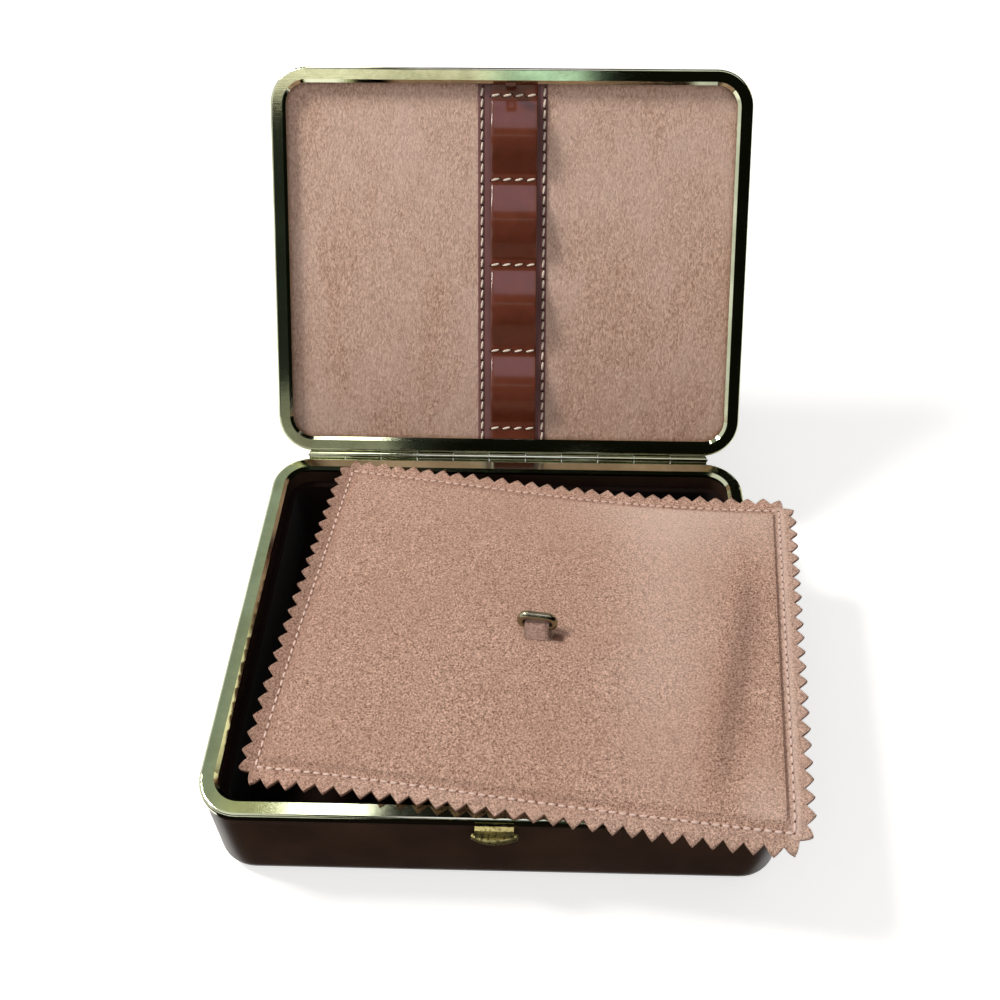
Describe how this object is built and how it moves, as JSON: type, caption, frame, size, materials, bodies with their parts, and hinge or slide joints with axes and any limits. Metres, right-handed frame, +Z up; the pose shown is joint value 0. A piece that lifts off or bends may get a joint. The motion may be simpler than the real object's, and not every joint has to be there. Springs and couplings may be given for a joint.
{
  "type": "hinged jewellery case",
  "caption": "Rectangular leather-covered jewellery case with brass frames, hinged lid, sprung catch, stitched loop strap in the lid and a loose pinked pad with a D-ring.",
  "frame": {"origin": "centre of the flat underside of the base, on the surface it stands on", "axes": "+X to the right, +Y to the back, where the hinge is, +Z up; the lid stands open and leans back"},
  "size_m": [0.2072, 0.2638, 0.1717],
  "materials": {
    "frame_brass": "polished, worn, with fine scratches",
    "hinge_brass": "polished, worn",
    "catch_brass": "polished, worn",
    "pin_steel": "drawn wire",
    "cover_leather": "dark brown grained leather",
    "tray_wood": "plain unfinished softwood, stained dark at the edge",
    "lining_suede": "brown napped suede cloth",
    "panel_suede": "pinkish tan suede",
    "pad_suede": "rosy brown suede with pinked edges",
    "strap_leather": "red-brown smooth leather, semi-gloss",
    "loop_leather": "brown smooth leather, glossy",
    "board": "grey-brown millboard",
    "wadding": "cotton wadding"
  },
  "bodies": {
    "base": {"base_frame": "frame_brass", "base_cover": "cover_leather", "base_tray": "tray_wood", "underside_sheet": "cover_leather", "inner_band": "cover_leather", "wall_lining": "lining_suede", "floor_lining": "lining_suede", "base_hinge_leaf": "hinge_brass", "hinge_pin": "pin_steel", "catch_spring": "pin_steel"},
    "lid": {"lid_frame": "frame_brass", "lid_cover": "cover_leather", "lid_tray": "tray_wood", "lid_wadding": "wadding", "panel_board": "board", "panel_suede": "panel_suede", "strap_base": "strap_leather", "strap_loops": "loop_leather", "lid_hinge_leaf": "hinge_brass", "lid_tongue": "pin_steel"},
    "catch": {"catch_thumbpiece": "catch_brass"},
    "pad": {"pad_underside": "pad_suede", "pad_board": "board", "pad_top": "pad_suede", "ring_tab": "pad_suede"},
    "ring": {"d_ring": "catch_brass"}
  },
  "joints": [
    {"name": "lid_hinge", "type": "hinge", "parent": "base", "child": "lid", "pos_m": [0, 0.07885, 0.042], "axis": [1, 0, 0], "range_deg": [0, 123.5]},
    {"name": "pad_slide", "type": "slide", "parent": "base", "child": "pad", "axis": [0, -0.9613, 0.2756], "range_m": [0, 0.2]},
    {"name": "ring_swing", "type": "hinge", "parent": "pad", "child": "ring", "pos_m": [0.01282, -0.00868, 0.0486], "axis": [0.993, -0.1184, 0], "range_deg": [-85, 75]},
    {"name": "catch_press", "type": "slide", "parent": "base", "child": "catch", "axis": [0, 1, 0], "range_m": [0, 0.0011], "stiffness_N_per_m": 400, "springref_m": -0.002, "deforming": ["catch_spring"]}
  ],
  "couplings": [
    {"joint": "pad_slide", "follows": "lid_hinge", "m_per_rad": 0.09}
  ]
}
